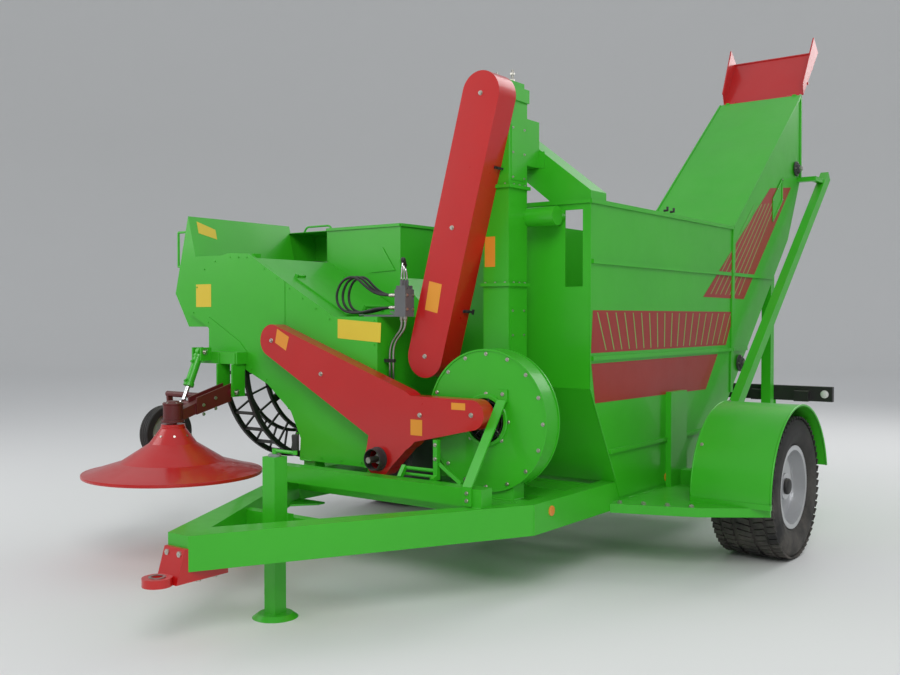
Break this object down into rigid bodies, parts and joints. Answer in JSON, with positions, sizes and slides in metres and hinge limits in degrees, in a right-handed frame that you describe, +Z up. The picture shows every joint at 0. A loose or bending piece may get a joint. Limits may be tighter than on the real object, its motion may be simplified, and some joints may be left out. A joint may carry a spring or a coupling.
{
  "type": "pumpkin harvester",
  "caption": "Trailed pumpkin harvester with drawbar, road wheels, side pick-up wheel and hood, gathering disc, crusher, sieve drum, seed tank and tall discharge elevator.",
  "frame": {"origin": "centre of the tow eye's bore", "axes": "+X to the machine's left, +Y to its rear, +Z up along the tow eye's bore"},
  "size_m": [3.999, 6.7536, 4.1434],
  "materials": {
    "green_paint": "gloss",
    "red_paint": "gloss",
    "maroon_paint": "satin",
    "black_paint": "satin",
    "tyre_rubber": "matte",
    "rim_silver": "satin",
    "wheel_rubber": "matte",
    "hose_rubber": "matte",
    "bare_steel": "brushed",
    "zinc_sheet": "dull",
    "gear_iron": "matte",
    "rod_chrome": "polished",
    "valve_grey": "satin"
  },
  "bodies": {
    "base": {"drawbar": "green_paint", "main_frame": "green_paint", "axle": "green_paint", "jack_sleeve": "green_paint", "fender_left": "green_paint", "fender_right": "green_paint", "seed_tank": "green_paint", "elevator": "green_paint", "prop_strut": "green_paint", "rear_post": "green_paint", "tower": "green_paint", "feed_chute": "green_paint", "blower_case": "green_paint", "front_panel": "green_paint", "crusher": "green_paint", "receiving_box": "green_paint", "hood": "green_paint", "pickup_post": "green_paint", "drum_case": "green_paint", "gather_bracket": "green_paint", "tow_eye": "red_paint", "tall_guard": "red_paint", "y_guard": "red_paint", "hose_1": "hose_rubber", "hose_2": "hose_rubber", "hose_3": "hose_rubber", "seed_trough": "zinc_sheet", "gearbox": "gear_iron", "valve_block": "valve_grey"},
    "wheel_left": {"tyre_left": "tyre_rubber", "rim_left": "rim_silver"},
    "wheel_right": {"tyre_right": "tyre_rubber", "rim_right": "rim_silver"},
    "pickup_wheel": {"pickup_wheel": "black_paint"},
    "blower_rotor": {"blower_rotor": "bare_steel"},
    "pto_shaft": {"pto_shaft": "bare_steel"},
    "sieve_drum": {"sieve_drum": "bare_steel"},
    "gather_arm": {"gather_arm": "maroon_paint"},
    "gather_disc": {"gather_disc": "red_paint"},
    "gauge_wheel": {"gauge_wheel": "wheel_rubber"},
    "lift_barrel": {"lift_barrel": "green_paint"},
    "lift_rod": {"lift_rod": "rod_chrome"},
    "jack_leg": {"jack_leg": "green_paint"},
    "spout": {"spout": "red_paint"},
    "crusher_lid": {"crusher_lid": "green_paint"}
  },
  "joints": [
    {"name": "wheel_left_spin", "type": "hinge", "parent": "base", "child": "wheel_left", "pos_m": [1.575, 3.64, 0.125], "axis": [1, 0, 0], "continuous": true},
    {"name": "wheel_right_spin", "type": "hinge", "parent": "base", "child": "wheel_right", "pos_m": [-1.575, 3.64, 0.125], "axis": [1, 0, 0], "continuous": true},
    {"name": "pickup_wheel_spin", "type": "hinge", "parent": "base", "child": "pickup_wheel", "pos_m": [-1.525, 2.52, 0.91], "axis": [1, 0, 0], "continuous": true},
    {"name": "blower_spin", "type": "hinge", "parent": "base", "child": "blower_rotor", "pos_m": [0.615, 1.85, 0.64], "axis": [0, 1, 0], "continuous": true},
    {"name": "power_input_spin", "type": "hinge", "parent": "base", "child": "pto_shaft", "pos_m": [-0.07, 1.74, 0.38], "axis": [0, 1, 0], "continuous": true},
    {"name": "sieve_drum_spin", "type": "hinge", "parent": "base", "child": "sieve_drum", "pos_m": [-0.79, 4.12, 0.99], "axis": [0, 1, 0], "continuous": true},
    {"name": "gather_arm_lower", "type": "hinge", "parent": "base", "child": "gather_arm", "pos_m": [-1.43, 1.655, 0.72], "axis": [1, 0, 0], "range_deg": [0, 20]},
    {"name": "gather_disc_spin", "type": "hinge", "parent": "gather_arm", "child": "gather_disc", "pos_m": [-1.43, 1.2, 0.54], "axis": [0, 0, 1], "continuous": true},
    {"name": "gauge_wheel_spin", "type": "hinge", "parent": "gather_arm", "child": "gauge_wheel", "pos_m": [-2, 1.58, 0.41], "axis": [1, 0, 0], "continuous": true},
    {"name": "lift_barrel_swing", "type": "hinge", "parent": "base", "child": "lift_barrel", "pos_m": [-1.64, 1.59, 0.99], "axis": [1, 0, 0], "range_deg": [0, 8.44]},
    {"name": "lift_rod_slide", "type": "slide", "parent": "lift_barrel", "child": "lift_rod", "axis": [0, -0.3987, -0.9171], "range_m": [0, 0.05253]},
    {"name": "jack_slide", "type": "slide", "parent": "base", "child": "jack_leg", "axis": [0, 0, 1], "range_m": [0, 0.25]},
    {"name": "spout_fold", "type": "hinge", "parent": "base", "child": "spout", "pos_m": [0.59, 6.282, 3.225], "axis": [-1, 0, 0], "range_deg": [0, 75]},
    {"name": "crusher_lid_open", "type": "hinge", "parent": "base", "child": "crusher_lid", "pos_m": [-1.00203, 2.165, 1.50502], "axis": [0, -1, 0], "range_deg": [0, 95]}
  ],
  "couplings": [
    {"joint": "lift_barrel_swing", "follows": "gather_arm_lower", "ratio": 0.42203},
    {"joint": "lift_rod_slide", "follows": "gather_arm_lower", "m_per_rad": 0.1505}
  ]
}
